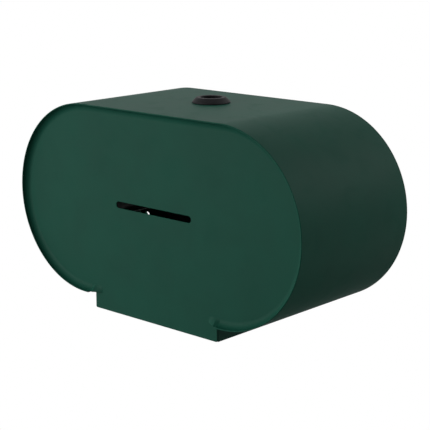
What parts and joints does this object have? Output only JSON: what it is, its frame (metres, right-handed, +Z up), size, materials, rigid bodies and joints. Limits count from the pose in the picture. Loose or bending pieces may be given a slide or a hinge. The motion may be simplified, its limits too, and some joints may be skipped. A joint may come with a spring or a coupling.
{
  "type": "twin toilet roll dispenser",
  "caption": "Wall dispenser for two toilet rolls side by side: a rounded sheet cover with a dished front and viewing slot drops open on a low hinge, with a turning lock on top.",
  "frame": {"origin": "centre of the wall face, on the pressed pad of the back plate, level with the middle of the rounded body", "axes": "+X to the right seen from the front, +Y into the wall, +Z up"},
  "size_m": [0.2848, 0.1217, 0.163],
  "materials": {
    "green_coat": "satin dark green powder coat on sheet steel",
    "black_plastic": "moulded black plastic with a soft shine",
    "grey_plastic": "moulded dark grey plastic, fine matt grain",
    "zinc_steel": "zinc-plated steel",
    "spring_steel": "hardened spring steel"
  },
  "bodies": {
    "wall_unit": {"back_plate": "green_coat", "lock_catch": "zinc_steel", "catch_rivet_left": "zinc_steel", "catch_rivet_right": "zinc_steel", "hinge_bracket_left": "zinc_steel", "hinge_bracket_right": "zinc_steel", "lower_bracket_rivet_left": "zinc_steel", "lower_bracket_rivet_right": "zinc_steel", "upper_bracket_rivet_left": "zinc_steel", "upper_bracket_rivet_right": "zinc_steel", "hinge_pin_left": "zinc_steel", "hinge_pin_right": "zinc_steel", "hinge_washer_left": "black_plastic", "hinge_washer_right": "black_plastic", "axle_left": "zinc_steel", "axle_right": "zinc_steel", "axle_nut_left": "zinc_steel", "axle_nut_right": "zinc_steel", "axle_clip_left": "zinc_steel", "axle_clip_right": "zinc_steel", "brake_spring_left": "spring_steel", "brake_spring_right": "spring_steel"},
    "cover": {"cover_wrap": "green_coat", "front_panel": "green_coat", "lock_body": "black_plastic", "lock_doubler": "zinc_steel", "lock_nut": "zinc_steel"},
    "lock": {"lock_plug": "black_plastic", "lock_cam": "zinc_steel", "cam_screw": "zinc_steel"},
    "left_hub": {"roll_hub_left": "grey_plastic", "hub_cap_left": "grey_plastic"},
    "right_hub": {"roll_hub_right": "grey_plastic", "hub_cap_right": "grey_plastic"}
  },
  "joints": [
    {"name": "cover_hinge", "type": "hinge", "parent": "wall_unit", "child": "cover", "pos_m": [0, -0.0285, -0.08045], "axis": [1, 0, 0], "range_deg": [0, 90]},
    {"name": "lock_turn", "type": "hinge", "parent": "cover", "child": "lock", "pos_m": [0, -0.0535, 0.0731], "axis": [0, 0, 1], "range_deg": [0, 90]},
    {"name": "left_hub_spin", "type": "hinge", "parent": "wall_unit", "child": "left_hub", "pos_m": [-0.0693, -0.06, 0], "axis": [0, 1, 0], "continuous": true},
    {"name": "right_hub_spin", "type": "hinge", "parent": "wall_unit", "child": "right_hub", "pos_m": [0.0693, -0.06, 0], "axis": [0, 1, 0], "continuous": true}
  ]
}
